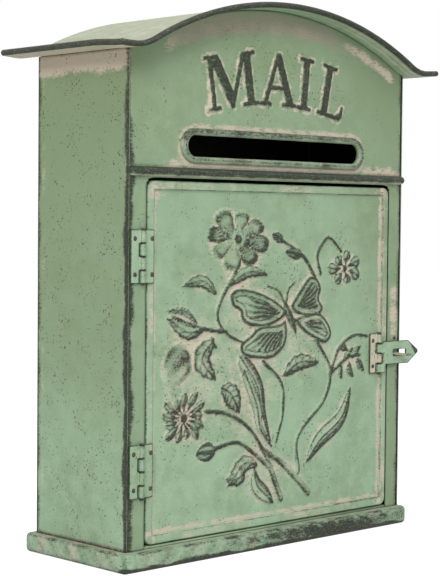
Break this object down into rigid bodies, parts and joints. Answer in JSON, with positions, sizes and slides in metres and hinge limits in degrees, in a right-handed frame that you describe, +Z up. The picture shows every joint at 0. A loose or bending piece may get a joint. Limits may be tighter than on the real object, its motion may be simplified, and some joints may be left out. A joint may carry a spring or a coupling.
{
  "type": "mailbox",
  "caption": "Weathered sheet-metal mailbox with an arched ogee roof, letter slot, drip rail, hinged door with pressed flower and butterfly relief, and a hasp.",
  "frame": {"origin": "below the middle of the whole box, on the surface it stands on", "axes": "+Z up, the front faces -Y, +X is the hasp side, to the right as seen from the front"},
  "size_m": [0.295, 0.1206, 0.3555],
  "materials": {
    "sage_paint": "distressed matt sage-green paint with rubbed dark edges and a beige wash",
    "olive_paint": "distressed matt olive-sage paint with fine brown specks",
    "pale_paint": "weathered matt pale sage paint, darker and rubbed at the rim",
    "dark_metal": "graphite-dark rubbed metal with remains of green paint"
  },
  "bodies": {
    "box": {"base_pan": "sage_paint", "body_shell": "olive_paint", "front_panel": "sage_paint", "roof": "pale_paint", "drip_rail": "dark_metal", "upper_hinge_frame_leaf": "sage_paint", "upper_hinge_pin": "dark_metal", "upper_hinge_frame_rivet_low": "dark_metal", "upper_hinge_frame_rivet_high": "dark_metal", "lower_hinge_frame_leaf": "sage_paint", "lower_hinge_pin": "dark_metal", "lower_hinge_frame_rivet_low": "dark_metal", "lower_hinge_frame_rivet_high": "dark_metal", "staple": "sage_paint", "staple_rivet": "dark_metal"},
    "door": {"door_panel": "sage_paint", "upper_hinge_door_leaf": "sage_paint", "upper_hinge_door_rivet_low": "dark_metal", "upper_hinge_door_rivet_high": "dark_metal", "lower_hinge_door_leaf": "sage_paint", "lower_hinge_door_rivet_low": "dark_metal", "lower_hinge_door_rivet_high": "dark_metal", "hasp_leaf": "sage_paint", "hasp_pin": "dark_metal", "hasp_rivet_low": "dark_metal", "hasp_rivet_high": "dark_metal"},
    "hasp": {"hasp_plate": "sage_paint"}
  },
  "joints": [
    {"name": "door_hinge", "type": "hinge", "parent": "box", "child": "door", "pos_m": [-0.1173, -0.0455, 0.1269], "axis": [0, 0, -1], "range_deg": [0, 110]},
    {"name": "hasp_hinge", "type": "hinge", "parent": "door", "child": "hasp", "pos_m": [0.1047, -0.044, 0.1227], "axis": [0, 0, -1], "range_deg": [0, 150]}
  ]
}
